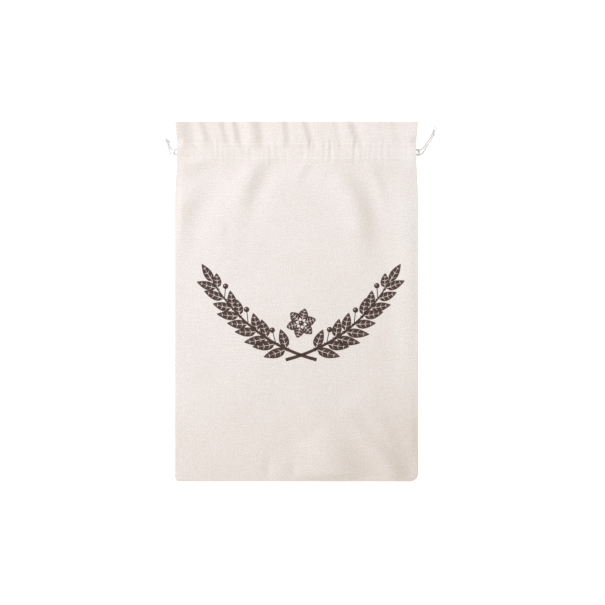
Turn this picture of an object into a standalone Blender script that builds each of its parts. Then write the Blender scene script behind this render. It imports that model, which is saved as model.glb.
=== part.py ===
"""A linen bread bag with two drawcords, empty and lying on its back.

Metres. +X runs across the bag, +Y from its foot to its mouth and +Z up from the surface that it lies on.
The origin is on that surface, under the middle of the bag. Each panel is one length of cloth: it runs up
from the foot, folds over at the mouth and comes down inside as a hem. Two rows of stitching close the hem
into a channel, and each channel holds a strand of both drawcords.
"""

import math

import bmesh
import bpy
import numpy as np
from mathutils import Matrix, Vector

MM = 0.001  # the tables below are in millimetres

# The finished bag.
BAG_WIDTH = 0.300
BAG_LENGTH = 0.443
HEADER = 0.0276  # the frill above the channel
CHANNEL_WIDTH = 0.0174  # from the upper row of stitching to the lower one
HEM_LIP = 0.002  # the hem below the lower row
CLOTH = 0.001
CORD = 0.0020
CLEARANCE = 0.0003  # between pieces that touch
CORD_ROOM = 0.0004  # above and below a cord in its channel
LEFT, RIGHT = -1, 1
CORNER_RADIUS = {LEFT: 0.005, RIGHT: 0.0105}
DRAWN_IN = 0.003  # how far the cords pull each side in

# Heights along Y.
FOOT, TOP = -BAG_LENGTH / 2, BAG_LENGTH / 2
UPPER_ROW = TOP - HEADER
LOWER_ROW = UPPER_ROW - CHANNEL_WIDTH
CHANNEL_MIDDLE = (UPPER_ROW + LOWER_ROW) / 2
HEM_END = LOWER_ROW - HEM_LIP
DRAW_IN_REACH = {"up": 0.050, "down": 0.062}

# The stack of layers where the sides meet.
TWO_LAYERS = CLOTH + CLEARANCE  # from one layer's middle to the next one's
CHANNEL_DEPTH = CORD + 2 * CORD_ROOM
CHANNEL_STACK = 2 * CLOTH + CHANNEL_DEPTH
CHANNEL_RAMP = 0.0033  # from a row of stitching to the channel's full depth
CHANNEL_BLEND = 0.012  # over which the channel's shape passes into the cloth beside it
BACK_MIDDLE = CLOTH / 2
SEAM_HEIGHT = BACK_MIDDLE + TWO_LAYERS
CHANNEL_SIDE_HEIGHT = 2 * CHANNEL_STACK + CLEARANCE - CLOTH / 2
HEADER_SIDE_HEIGHT = 0.0062
SLIT_START = 0.148  # where the side seam ends and the sides part

# How the front lies over the back: heights of the middle of its cloth.
CROWN = 0.0105
CHANNEL_CROWN = 0.0142
HEADER_CROWN = 0.0137
CROWN_START = 0.060  # the front falls from here to the foot
FOOT_FALL = (4, 1.0)  # powers of that fall: the first makes it late, and the second sudden at its end
SIDE_FALL = (2.2, 1.0)  # the same from the middle to the sides
CHANNEL_SIDE_FALL = (4, 1.0)  # and in the channel
RISE_START = 0.095  # from here the front rises to the channel

# Folds in the front, in millimetres: the line that each follows, from start to end by way of a bend, its
# half width, and its height. Along a drop the cloth stands high on the left of the line and low on the
# right. A ridge is the same on both sides, and a hollow is a ridge of negative height.
FOLD_COLUMNS = ("name", "start", "bend", "end", "half_width", "height")
DROPS = (
    ("left shoulder", (-119, 172), (-130, 160), (-141, 152), 8.0, 1.2),
    ("left side", (-113, 140), (-146, 112), (-140, 72), 13.0, 1.9),
    ("upper left", (-28, 171), (-45, 152), (-61, 118), 9.0, 2.2),
    ("upper right", (50, 151), (82, 128), (93, 70), 10.0, 2.4),
    ("right side", (90, 172), (100, 158), (113, 118), 6.0, 0.9),
    ("foot right", (75, -152), (108, -176), (150, -207), 11.0, 2.2),
    ("foot middle", (45, -174), (60, -198), (70, -221), 11.0, 1.1),
)
RIDGES = (
    ("left swell", (-75, 150), (-95, 110), (-100, 60), 26.0, 0.8),
    ("right side roll", (128, 150), (131, 20), (127, -90), 10.0, 0.9),
    ("foot ridge", (65, -170), (100, -192), (117, -220), 9.0, 1.0),
    ("foot left pucker", (-34, -196), (-35, -208), (-35, -220), 5.0, -0.9),
    ("foot middle pucker", (-5, -202), (-4, -210), (-4, -220), 5.0, -0.9),
)
FOLD_END = 0.3  # share of a fold's height that is left at its two ends
FOLDS_START = 0.030  # above the foot, the length over which the folds reach their height
SIDE_CALM = 0.12  # share of the half width, at the sides, over which folds and ruffles die out
# Ruffles of the frill: where each stands at the mouth and at the channel, its half width and its depth.
RUFFLE_COLUMNS = ("at_mouth", "at_channel", "half_width", "depth")
RUFFLES = (
    (-139, -138, 6.0, -1.3),
    (-117, -112, 4.5, -1.0),
    (-92, -88, 4.5, -1.1),
    (-80, -74, 5.0, -1.3),
    (-53, -47, 6.5, -1.6),
    (-13, -12, 5.0, -1.1),
    (11, 17, 5.0, -1.1),
    (45, 49, 5.0, -0.6),
    (68, 72, 5.5, -1.5),
    (121, 124, 6.0, -0.7),
)
RUFFLE_GROWTH = 0.45  # share of the frill, above the channel, over which ruffles reach their depth
SPINE_STEPS = 24  # points at which a fold's line is measured

# The grid of each panel.
FRONT_COLUMNS, BACK_COLUMNS = 34, 18
FRONT_BODY_ROWS, BACK_BODY_ROWS = 26, 7
CROWDING = 0.22  # how much closer together the columns are at the sides
BODY_ROWS_END = LOWER_ROW - 0.004
CORNER_ROWS = (0.0, 0.07, 0.3, 0.65)  # shares of a corner's radius
CHANNEL_ROWS = (0.0, 0.09, CHANNEL_RAMP / CHANNEL_WIDTH, 0.5, 1 - CHANNEL_RAMP / CHANNEL_WIDTH, 0.91, 1.0)
HEADER_ROWS = (0.2, 0.5, 0.8)
TURN_STEPS = 4  # facets round the fold at the mouth

# The cords. One lies above the other in each channel, and they change places from front to back.
CORD_LINE = LOWER_ROW + 0.0076  # midway between them
STRAND_OFFSET = 0.0031
CHANNEL_POINTS = 21  # points of a cord along one channel
TURN_ANGLES = (36, 72, 108, 144)  # points round the slit at the far side
CORD_SIDES = 2  # bevel_resolution: eight sides

# Free ends of the cords, in millimetres, from the knot to the channel's mouth.
FREE_ENDS = {
    LEFT: {
        "front": (
            (-158.5, 192.3, 2.6),
            (-157.5, 188.8, 1.5),
            (-156.3, 185.0, 1.4),
            (-154.7, 181.6, 2.4),
            (-152.6, 180.0, 4.6),
            (-149.9, 180.6, 6.9),
        ),
        "back": (
            (-156.2, 192.5, 2.6),
            (-155.3, 189.4, 1.5),
            (-153.3, 187.6, 1.2),
            (-150.3, 187.2, 1.7),
        ),
    },
    RIGHT: {
        "front": (
            (164.3, 201.9, 2.7),
            (161.4, 197.6, 1.5),
            (158.4, 192.8, 1.4),
            (156.0, 189.4, 2.4),
            (153.6, 187.6, 4.8),
            (150.5, 187.1, 6.9),
        ),
        "back": (
            (166.3, 200.3, 2.7),
            (163.3, 195.8, 1.5),
            (160.2, 190.9, 1.2),
            (157.0, 185.6, 1.2),
            (153.8, 181.9, 1.2),
            (150.4, 180.9, 1.6),
        ),
    },
}
FREE_STEPS = 2  # points of a free end between each two of these
# Knots: middle and half sizes in millimetres, and heading in degrees from +X.
KNOT_COLUMNS = ("middle", "half_size", "heading")
KNOTS = {
    LEFT: ((-158.9, 196.8, 3.4), (4.0, 3.1, 3.0), 110.0),
    RIGHT: ((167.8, 206.8, 3.3), (5.6, 2.9, 2.9), 66.0),
}
LOBES, LOBE_HEIGHT, LOBE_TWIST = 3, 0.06, 2.0  # the turns that show on a knot
KNOT_FINENESS = 3  # subdivisions of its ball
SIDE_NAMES = {LEFT: "left", RIGHT: "right"}

LINEN = (0.757, 0.700, 0.660, 1.0)
COTTON = (0.800, 0.780, 0.740, 1.0)


def ease(share):
    """0 to 1, level at both ends."""
    share = np.clip(share, 0.0, 1.0)
    return share * share * (3 - 2 * share)


def near(distance, reach):
    """1 at no distance, falling to 0 at reach."""
    return 1 - ease(np.abs(distance) / reach)


def half_width(side, y):
    """How far the side seam is from the middle of the bag."""
    reach = DRAW_IN_REACH["up"] if y > CHANNEL_MIDDLE else DRAW_IN_REACH["down"]
    radius = CORNER_RADIUS[side]
    below = 1 - min(1.0, (y - FOOT) / radius)
    corner = radius * (1 - math.sqrt(1 - below * below))
    return BAG_WIDTH / 2 - DRAWN_IN * near(y - CHANNEL_MIDDLE, reach) - corner


def column_shares(columns):
    """Columns from -1 to 1, closer together at the sides."""
    even = np.linspace(-1, 1, columns + 1)
    return (1 + CROWDING) * even - CROWDING * even**3


def column_x(share, y):
    return share * half_width(RIGHT if share > 0 else LEFT, y)


def spine(start, bend, end):
    """Points along a fold's line, the direction to its left at each, and their shares of its length."""
    t = np.linspace(0, 1, SPINE_STEPS)
    corners = [np.array(point, float) * MM for point in (start, bend, end)]
    weights = ((1 - t) ** 2, 2 * t * (1 - t), t**2)
    points = sum(np.outer(weight, corner) for weight, corner in zip(weights, corners))
    along = np.gradient(points, axis=0)
    left = np.stack([along[:, 1], -along[:, 0]], axis=1)
    left /= np.linalg.norm(left, axis=1)[:, None]
    left *= np.where(left[:, :1] > 0, -1, 1)
    return points, left, t


def fold_height(x, y):
    """The sum of the front's folds."""
    total = 0.0
    for table, is_drop in ((DROPS, True), (RIDGES, False)):
        for row in table:
            fold = dict(zip(FOLD_COLUMNS, row))
            points, left, shares = spine(fold["start"], fold["bend"], fold["end"])
            away = np.hypot(points[:, 0] - x, points[:, 1] - y)
            nearest = int(away.argmin())
            half = fold["half_width"] * MM
            shape = math.exp(-((away[nearest] / half) ** 2))
            if is_drop:
                to_left = (np.array((x, y)) - points[nearest]) @ left[nearest]
                shape *= to_left / half
            fade = FOLD_END + (1 - FOLD_END) * math.sin(math.pi * shares[nearest])
            total += fold["height"] * MM * shape * fade
    return total


def ruffle_height(x, y):
    """The frill's ruffles, which grow from the channel to the mouth."""
    up = (y - UPPER_ROW) / HEADER
    if up <= 0:
        return 0.0
    total = 0.0
    for row in RUFFLES:
        ruffle = dict(zip(RUFFLE_COLUMNS, row))
        middle = ruffle["at_channel"] + (ruffle["at_mouth"] - ruffle["at_channel"]) * up
        away = (x - middle * MM) / (ruffle["half_width"] * MM)
        total += ruffle["depth"] * MM * math.exp(-(away**2))
    return total * ease(up / RUFFLE_GROWTH)


def fall_off(share, powers):
    """1 at no share of the way, falling to 0 at all of it."""
    return (1 - share ** powers[0]) ** powers[1]


def side_height(y):
    """Height of the front's cloth at its sides."""
    rise = ease((y - SLIT_START) / (LOWER_ROW + CHANNEL_RAMP - SLIT_START))
    fall = ease((y - UPPER_ROW + CHANNEL_RAMP) / (HEADER + CHANNEL_RAMP))
    height = SEAM_HEIGHT + (CHANNEL_SIDE_HEIGHT - SEAM_HEIGHT) * rise
    return height - (CHANNEL_SIDE_HEIGHT - HEADER_SIDE_HEIGHT) * fall


def middle_height(y):
    """Height of the front's cloth along the middle of the bag."""
    down = min(1.0, max(0.0, (CROWN_START - y) / (CROWN_START - FOOT)))
    rise = ease((y - RISE_START) / (LOWER_ROW + CHANNEL_RAMP - RISE_START))
    fall = ease((y - UPPER_ROW + CHANNEL_RAMP) / (HEADER + CHANNEL_RAMP))
    height = SEAM_HEIGHT + (CROWN - SEAM_HEIGHT) * fall_off(down, FOOT_FALL)
    return height + (CHANNEL_CROWN - CROWN) * rise - (CHANNEL_CROWN - HEADER_CROWN) * fall


def in_channel(y):
    """1 over the channel, 0 well away from it."""
    entered = ease((y - LOWER_ROW + CHANNEL_BLEND) / CHANNEL_BLEND)
    left_behind = ease((y - UPPER_ROW) / CHANNEL_BLEND)
    return entered * (1 - left_behind)


def front_height(x, y):
    """Height of the middle of the front's outer layer."""
    side = RIGHT if x > 0 else LEFT
    out = min(1.0, abs(x) / half_width(side, y))
    channel = in_channel(y)
    roll = (1 - channel) * fall_off(out, SIDE_FALL) + channel * fall_off(out, CHANNEL_SIDE_FALL)
    low = side_height(y)
    smooth = low + (middle_height(y) - low) * roll
    above_foot = ease((y - FOOT) / FOLDS_START)
    settled = fold_height(x, y) * (1 - channel) * above_foot + ruffle_height(x, y)
    return smooth + settled * ease((1 - out) / SIDE_CALM)


def back_height(x, y):
    """Height of the middle of the back's outer layer, which lies flat."""
    return BACK_MIDDLE


def layer_step(y):
    """From the middle of the outer layer to the middle of the hem under it."""
    into_channel = min(y - LOWER_ROW, UPPER_ROW - y)
    opened = ease(into_channel / CHANNEL_RAMP)
    return TWO_LAYERS + (CHANNEL_DEPTH - CLEARANCE) * opened


def section(body_rows):
    """A panel's section from the foot up and down its hem: (y, share of the hem's step) for each row."""
    corner = max(CORNER_RADIUS.values())
    body = [FOOT + share * corner for share in CORNER_ROWS]
    body += list(np.linspace(FOOT + corner, BODY_ROWS_END, body_rows))
    channel = [LOWER_ROW + share * CHANNEL_WIDTH for share in CHANNEL_ROWS]
    turn_radius = TWO_LAYERS / 2
    turn_middle = TOP - turn_radius - CLOTH / 2
    header = [UPPER_ROW + share * (turn_middle - UPPER_ROW) for share in HEADER_ROWS]
    outer = [(y, 0.0) for y in body + channel + header]
    turn = []
    for step in range(TURN_STEPS + 1):
        angle = math.pi * step / TURN_STEPS
        turn.append((turn_middle + turn_radius * math.sin(angle), (1 - math.cos(angle)) / 2))
    hem = [(y, 1.0) for y in reversed(channel + header)]
    return outer + turn + hem + [(HEM_END, 1.0)]


def make_panel(name, columns, body_rows, height, inward, material):
    """One panel with its hem. inward is -1 where the hem lies under the outer layer, and 1 where over."""
    rows = section(body_rows)
    shares = column_shares(columns)
    mesh = bmesh.new()
    bmesh.ops.create_grid(mesh, x_segments=columns, y_segments=len(rows) - 1, size=0.5)
    for vertex in mesh.verts:
        column = round((vertex.co.x + 0.5) * columns)
        y, step_share = rows[round((vertex.co.y + 0.5) * (len(rows) - 1))]
        x = column_x(shares[column], y)
        level_y = min(y, TOP - TWO_LAYERS / 2 - CLOTH / 2)
        z = height(x, level_y) + inward * layer_step(level_y) * step_share
        vertex.co = Vector((x, y, z))
    data = bpy.data.meshes.new(name)
    mesh.to_mesh(data)
    mesh.free()
    panel = add_object(name, data, material)
    thicken = panel.modifiers.new("cloth thickness", "SOLIDIFY")
    thicken.thickness = CLOTH
    thicken.offset = 0.0
    return panel


def channel_run(height, inward, y, from_side):
    """A cord's points along one channel, from the side where it enters to the other one."""
    points = []
    for step in range(CHANNEL_POINTS):
        x = column_x(from_side * (1 - 2 * step / (CHANNEL_POINTS - 1)), y)
        z = height(x, y) + inward * (CLOTH + CHANNEL_DEPTH) / 2
        points.append(Vector((x, y, z)))
    return points


def half_turn(start, end, outwards):
    """The points between start and end where a cord goes round from one channel to the other."""
    middle = (start + end) / 2
    arm = (start - end) / 2
    points = []
    for angle in TURN_ANGLES:
        turned = math.radians(angle)
        out = Vector((outwards * arm.length * math.sin(turned), 0, 0))
        points.append(middle + arm * math.cos(turned) + out)
    return points


def smooth_line(points, steps):
    """A smooth curve through the points, in steps between each two. The last point is left out."""
    padded = [points[0] * 2 - points[1]] + points + [points[-1] * 2 - points[-2]]
    line = []
    for before, start, end, after in zip(padded, padded[1:], padded[2:], padded[3:]):
        for step in range(steps):
            t = step / steps
            bend = (2 * before - 5 * start + 4 * end - after) * t * t
            twist = (3 * start - before - 3 * end + after) * t**3
            line.append((2 * start + (end - before) * t + bend + twist) / 2)
    return line


def free_end(side, which, channel_mouth):
    """A cord's line from its knot to the channel."""
    points = [Vector(point) * MM for point in FREE_ENDS[side][which]]
    return smooth_line(points + [channel_mouth], FREE_STEPS)


def cord_route(side):
    """A drawcord's line, from its knot through the front channel, and back through the back one."""
    in_front = channel_run(front_height, -1, CORD_LINE + side * STRAND_OFFSET, side)
    in_back = channel_run(back_height, 1, CORD_LINE - side * STRAND_OFFSET, -side)
    turn = half_turn(in_front[-1], in_back[0], -side)
    to_front = free_end(side, "front", in_front[0])
    to_back = free_end(side, "back", in_back[-1])
    return to_front + in_front + turn + in_back + to_back[::-1]


def make_cord(name, route, material):
    data = bpy.data.curves.new(name, "CURVE")
    data.dimensions = "3D"
    data.bevel_depth = CORD / 2
    data.bevel_resolution = CORD_SIDES
    data.use_fill_caps = True
    spline = data.splines.new("POLY")
    spline.points.add(len(route) - 1)
    for point, place in zip(spline.points, route):
        point.co = (*place, 1.0)
    return add_object(name, data, material)


def make_knot(name, row, material):
    """A tight overhand knot's outer shape: an oval with three shallow lobes."""
    knot_row = dict(zip(KNOT_COLUMNS, row))
    mesh = bmesh.new()
    bmesh.ops.create_icosphere(mesh, subdivisions=KNOT_FINENESS, radius=1.0)
    for vertex in mesh.verts:
        around = math.atan2(vertex.co.z, vertex.co.y)
        vertex.co *= 1 + LOBE_HEIGHT * math.cos(LOBES * around + LOBE_TWIST * vertex.co.x)
    sizes = Matrix.Diagonal([size * MM for size in knot_row["half_size"]] + [1.0])
    turn = Matrix.Rotation(math.radians(knot_row["heading"]), 4, "Z")
    bmesh.ops.transform(mesh, matrix=turn @ sizes, verts=mesh.verts)
    data = bpy.data.meshes.new(name)
    mesh.to_mesh(data)
    mesh.free()
    data.shade_smooth()
    knot = add_object(name, data, material)
    knot.location = Vector(knot_row["middle"]) * MM
    return knot


def add_object(name, data, material):
    obj = bpy.data.objects.new(name, data)
    obj.data.materials.append(material)
    bag_collection().objects.link(obj)
    return obj


def bag_collection():
    name = "linen bread bag"
    if name not in bpy.data.collections:
        bpy.context.scene.collection.children.link(bpy.data.collections.new(name))
    return bpy.data.collections[name]


def make_material(name, colour, roughness):
    material = bpy.data.materials.new(name)
    material.use_nodes = True
    shader = material.node_tree.nodes["Principled BSDF"]
    shader.inputs["Base Color"].default_value = colour
    shader.inputs["Roughness"].default_value = roughness
    shader.inputs["Metallic"].default_value = 0.0
    return material


def main():
    for obj in list(bpy.data.objects):
        bpy.data.objects.remove(obj)
    linen = make_material("natural linen", LINEN, 0.9)
    cotton = make_material("cotton cord", COTTON, 0.85)
    make_panel("front_panel", FRONT_COLUMNS, FRONT_BODY_ROWS, front_height, -1, linen)
    make_panel("back_panel", BACK_COLUMNS, BACK_BODY_ROWS, back_height, 1, linen)
    for side, side_name in SIDE_NAMES.items():
        make_cord(f"drawcord_{side_name}", cord_route(side), cotton)
        make_knot(f"knot_{side_name}", KNOTS[side], cotton)


main()
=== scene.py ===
"""A linen bread bag with two drawcords, empty and lying on its back."""
import math

import bmesh
import bpy
import numpy as np
from mathutils import Matrix, Vector
from mathutils.bvhtree import BVHTree


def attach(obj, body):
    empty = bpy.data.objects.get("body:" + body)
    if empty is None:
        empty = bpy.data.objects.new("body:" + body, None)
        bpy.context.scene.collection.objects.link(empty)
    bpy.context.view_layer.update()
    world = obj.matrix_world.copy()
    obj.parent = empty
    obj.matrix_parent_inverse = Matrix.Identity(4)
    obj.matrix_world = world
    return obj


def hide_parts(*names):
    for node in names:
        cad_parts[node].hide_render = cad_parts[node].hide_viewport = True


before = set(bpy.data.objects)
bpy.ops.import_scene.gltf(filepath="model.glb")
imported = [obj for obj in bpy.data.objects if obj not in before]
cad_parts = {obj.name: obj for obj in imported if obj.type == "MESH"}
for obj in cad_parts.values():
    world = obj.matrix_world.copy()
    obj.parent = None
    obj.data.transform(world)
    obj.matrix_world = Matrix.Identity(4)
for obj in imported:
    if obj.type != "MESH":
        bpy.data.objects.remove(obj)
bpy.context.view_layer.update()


# ---------------------------------------------------------------------------------- floor, light and view
# A plain white floor under soft studio light: a broad lamp on the left, a weaker one beyond the bag's mouth,
# and pale surroundings. The bag is seen from straight above through a long lens.
PICTURE_WIDTH = 0.7454  # metres across the picture, at the bag
PICTURE_CENTRE = (0.0073, -0.0010)
LENS, SENSOR = 200.0, 36.0  # millimetres
FLOOR_SIZE = 12.0
FLOOR_WHITE = (0.95, 0.95, 0.95, 1.0)
FLOOR_GLOW = 0.5
LAMPS = (  # place, size across, power
    ((-2.00, -0.03, 1.43), 1.1, 29.8),
    ((0.22, 0.66, 0.78), 0.4, 2.8),
)
LAMP_COLOUR = (0.951, 1.000, 1.200)
SURROUNDINGS = 0.583
SURROUNDINGS_COLOUR = (1.037, 1.000, 0.855, 1.0)

scene = bpy.context.scene
scene.view_settings.view_transform = "Standard"

world = bpy.data.worlds.new("pale surroundings")
world.use_nodes = True
world.node_tree.nodes["Background"].inputs["Color"].default_value = SURROUNDINGS_COLOUR
world.node_tree.nodes["Background"].inputs["Strength"].default_value = SURROUNDINGS
scene.world = world

for lamp_place, lamp_size, lamp_power in LAMPS:
    lamp_data = bpy.data.lights.new("broad lamp", "AREA")
    lamp_data.shape = "DISK"
    lamp_data.size = lamp_size
    lamp_data.energy = lamp_power
    lamp_data.color = LAMP_COLOUR
    lamp = bpy.data.objects.new("broad lamp", lamp_data)
    lamp.location = lamp_place
    lamp.rotation_euler = (-Vector(lamp_place)).to_track_quat("-Z", "Y").to_euler()
    scene.collection.objects.link(lamp)

camera_data = bpy.data.cameras.new("overhead camera")
camera_data.lens = LENS
camera_data.sensor_width = SENSOR
camera = bpy.data.objects.new("overhead camera", camera_data)
camera.location = (*PICTURE_CENTRE, PICTURE_WIDTH * LENS / SENSOR)
scene.collection.objects.link(camera)
scene.camera = camera


def make_piece(name, mesh_builder, material, slot=None):
    """The bmesh as a new object with its material. It rides on the bag where a slot is given."""
    mesh = bpy.data.meshes.new(name)
    mesh_builder.to_mesh(mesh)
    mesh_builder.free()
    mesh.materials.append(material)
    mesh.shade_smooth()
    piece = bpy.data.objects.new(name, mesh)
    scene.collection.objects.link(piece)
    if slot:
        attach(piece, "root")
    return piece


floor_material = bpy.data.materials.new("white floor")
floor_material.use_nodes = True
floor_shader = floor_material.node_tree.nodes["Principled BSDF"]
floor_shader.inputs["Base Color"].default_value = FLOOR_WHITE
floor_shader.inputs["Roughness"].default_value = 0.9
floor_shader.inputs["Emission Color"].default_value = (1.0, 1.0, 1.0, 1.0)
floor_shader.inputs["Emission Strength"].default_value = FLOOR_GLOW

floor_mesh = bmesh.new()
bmesh.ops.create_grid(floor_mesh, x_segments=1, y_segments=1, size=FLOOR_SIZE / 2)
make_piece("floor", floor_mesh, floor_material)


# ---------------------------------------------------------------------------------- drawcords
# Two cotton drawcords of three twisted plies. Each runs from its knot through the front channel, round the
# far side seam and back through the back channel to the same knot, and the two cross over inside.
MM = 0.001
CORD = 0.0020
SIDES = {"left": -1, "right": 1}
CORD_LINE = 0.1841  # along Y, midway between the two cords in a channel
STRAND_OFFSET = 0.0031
CHANNEL_HALF = 0.1470  # from the middle of the bag to a channel's end
UNDER_FRONT = 0.0024  # from the front's outer face down to a cord's middle
OVER_FLOOR = 0.0024  # from the floor up to a cord's middle in the back
CHANNEL_STEPS = 20
INSIDE_CHANNEL = 0.995  # a cord's height is read at this share of its X, safely short of the front's side
TURN_STEPS = 5
FREE_ENDS = {  # each cord's two ends in millimetres, from its knot to the front channel and to the back one
    "left": (
        (
            (-158.5, 192.3, 2.6), (-157.5, 188.8, 1.5), (-156.3, 185.0, 1.4),
            (-154.7, 181.6, 2.4), (-152.6, 180.0, 4.6), (-149.9, 180.6, 6.9),
        ),
        ((-156.2, 192.5, 2.6), (-155.3, 189.4, 1.5), (-153.3, 187.6, 1.2), (-150.3, 187.2, 1.7)),
    ),
    "right": (
        (
            (164.3, 201.9, 2.7), (161.4, 197.6, 1.5), (158.4, 192.8, 1.4),
            (156.0, 189.4, 2.4), (153.6, 187.6, 4.8), (150.5, 187.1, 6.9),
        ),
        (
            (166.3, 200.3, 2.7), (163.3, 195.8, 1.5), (160.2, 190.9, 1.2),
            (157.0, 185.6, 1.2), (153.8, 181.9, 1.2), (150.4, 180.9, 1.6),
        ),
    ),
}
KNOT_MIDDLES = {"left": (-158.9, 196.8, 3.4), "right": (167.8, 206.8, 3.3)}
TUCKED_IN = 0.45  # share of the way to the knot's middle at which a strand ends inside it
PLIES = 3
PLY_PITCH = 0.0066  # length of one full turn of the plies
GROOVE = 0.92  # radius at the bottom of the groove between two plies, as a share of the cord's
PLY_FULLNESS = 0.7  # power of the plies' rounding: the lower, the fuller
AROUND = 18  # sides of a cord's section
RING_STEP = 0.0006
COTTON = (0.765, 0.754, 0.722, 1.0)
COTTON_SHADE = (0.720, 0.707, 0.672, 1.0)
COTTON_FIBRES = {"Scale": 2600.0, "Detail": 3.0, "Roughness": 0.6}
COTTON_TONES = {"Scale": 260.0, "Detail": 2.0}
COTTON_CONTRAST = 0.6  # of the slow changes of tone

front_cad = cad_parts["front_panel"].data
front_faces = [tuple(face.vertices) for face in front_cad.polygons]
front_tree = BVHTree.FromPolygons([vertex.co for vertex in front_cad.vertices], front_faces)


def front_top(x, y):
    """Height of the outer face of the front's solid at a place."""
    return front_tree.ray_cast(Vector((x, y, 1.0)), Vector((0, 0, -1)))[0].z


def directions(path):
    """The direction of a path at each of its points."""
    return [(b - a).normalized() for a, b in zip([path[0], *path[:-1]], [*path[1:], path[-1]])]


def smooth_path(points, step):
    """Points that step along a smooth curve through the given ones."""
    padded = [points[0] * 2 - points[1], *points, points[-1] * 2 - points[-2]]
    fine = []
    for before, start, end, after in zip(padded, padded[1:], padded[2:], padded[3:]):
        count = max(1, math.ceil((end - start).length / step))
        for t in np.arange(count) / count:
            bend = (2 * before - 5 * start + 4 * end - after) * t * t
            twist = (3 * start - before - 3 * end + after) * t**3
            fine.append((2 * start + (end - before) * t + bend + twist) / 2)
    return fine + [points[-1]]


def channel_run(side, y, in_front):
    """A cord's points along one channel, from that side to the other one."""
    points = []
    for share in np.linspace(1, -1, CHANNEL_STEPS + 1):
        x = side * CHANNEL_HALF * share
        z = front_top(x * INSIDE_CHANNEL, y) - UNDER_FRONT if in_front else OVER_FLOOR
        points.append(Vector((x, y, z)))
    return points


def cord_route(name):
    """All the points of a cord, from one end inside its knot to the other."""
    side = SIDES[name]
    to_front, to_back = ([Vector(point) * MM for point in free_end] for free_end in FREE_ENDS[name])
    in_front = channel_run(side, CORD_LINE + side * STRAND_OFFSET, True)
    in_back = channel_run(-side, CORD_LINE - side * STRAND_OFFSET, False)
    middle, arm = (in_front[-1] + in_back[0]) / 2, (in_front[-1] - in_back[0]) / 2
    turn = []
    for angle in np.linspace(0, math.pi, TURN_STEPS + 1)[1:-1]:
        turn.append(middle + arm * math.cos(angle) + Vector((-side * arm.length * math.sin(angle), 0, 0)))
    inside_knot = Vector(KNOT_MIDDLES[name]) * MM
    start, end = (points[0].lerp(inside_knot, TUCKED_IN) for points in (to_front, to_back))
    return [start, *to_front, *in_front, *turn, *in_back, *to_back[::-1], end]


def add_tube(target, path, frames, sides, radius_at):
    """A tube's wall along the path, added to the bmesh. frames holds the two directions across the path at
    each point, and radius_at(ring, angle) is the radius there."""
    rings = len(path) - 1
    grid = bmesh.ops.create_grid(target, x_segments=rings, y_segments=sides, size=0.5)
    for vertex in grid["verts"]:
        ring = round((vertex.co.x + 0.5) * rings)
        angle = 2 * math.pi * (vertex.co.y + 0.5)
        first, second = frames[ring]
        out = first * math.cos(angle) + second * math.sin(angle)
        vertex.co = path[ring] + out * radius_at(ring, angle)


def close_tubes(tubes, gap):
    """The tubes with the seams along their walls merged and their ends capped."""
    bmesh.ops.remove_doubles(tubes, verts=tubes.verts, dist=gap)
    bmesh.ops.holes_fill(tubes, edges=[edge for edge in tubes.edges if edge.is_boundary])
    bmesh.ops.recalc_face_normals(tubes, faces=tubes.faces)
    return tubes


def twisted_tube(path, radius):
    """A closed tube of twisted plies along the path: round lobes with grooves between."""
    tangents = directions(path)
    across = tangents[0].orthogonal().normalized()
    frames, turned, gone = [], [], 0.0
    for i, (point, tangent) in enumerate(zip(path, tangents)):
        across = (across - tangent * across.dot(tangent)).normalized()
        gone += (point - path[i - 1]).length if i else 0.0
        frames.append((across, tangent.cross(across)))
        turned.append(2 * math.pi * gone / PLY_PITCH)

    def ply_radius(ring, angle):
        lobe = abs(math.cos((angle + turned[ring]) * PLIES / 2))
        return radius * (GROOVE + (1 - GROOVE) * lobe**PLY_FULLNESS)

    tube = bmesh.new()
    add_tube(tube, path, frames, AROUND, ply_radius)
    return close_tubes(tube, radius / 100)


def new_material(name, roughness, sheen):
    """A matt material for cloth, cord or thread, and its shader."""
    material = bpy.data.materials.new(name)
    material.use_nodes = True
    shader = material.node_tree.nodes["Principled BSDF"]
    shader.inputs["Roughness"].default_value = roughness
    shader.inputs["Sheen Weight"].default_value = sheen
    shader.inputs["Specular IOR Level"].default_value = 0.25
    return material, shader


def add_node(tree, kind, values=None, **settings):
    """A new node with its settings, and with its inputs set, or linked where the value is a socket."""
    node = tree.nodes.new(kind)
    for setting, value in settings.items():
        setattr(node, setting, value)
    for key, value in (values or {}).items():
        if isinstance(value, bpy.types.NodeSocket):
            tree.links.new(value, node.inputs[key])
        else:
            node.inputs[key].default_value = value
    return node


def math_node(tree, operation, *values, clamp=False):
    """The result of a math node on one, two or three numbers or sockets."""
    node = add_node(tree, "ShaderNodeMath", dict(enumerate(values)), operation=operation, use_clamp=clamp)
    return node.outputs[0]


def noise_node(tree, place, **inputs):
    """The value of a noise texture at a place."""
    return add_node(tree, "ShaderNodeTexNoise", {"Vector": place, **inputs}).outputs["Fac"]


def colour_node(tree, tone, dark, light):
    """The colour at a tone from 0, the dark one, to 1, the light one."""
    return add_node(tree, "ShaderNodeMix", {0: tone, 6: dark, 7: light}, data_type="RGBA").outputs[2]


def finish_surface(tree, shader, colour, height, strength, depth):
    """The colour and the fine relief put into the shader."""
    tree.links.new(colour, shader.inputs["Base Color"])
    bump = add_node(tree, "ShaderNodeBump", {"Height": height, "Strength": strength, "Distance": depth})
    tree.links.new(bump.outputs["Normal"], shader.inputs["Normal"])


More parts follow.
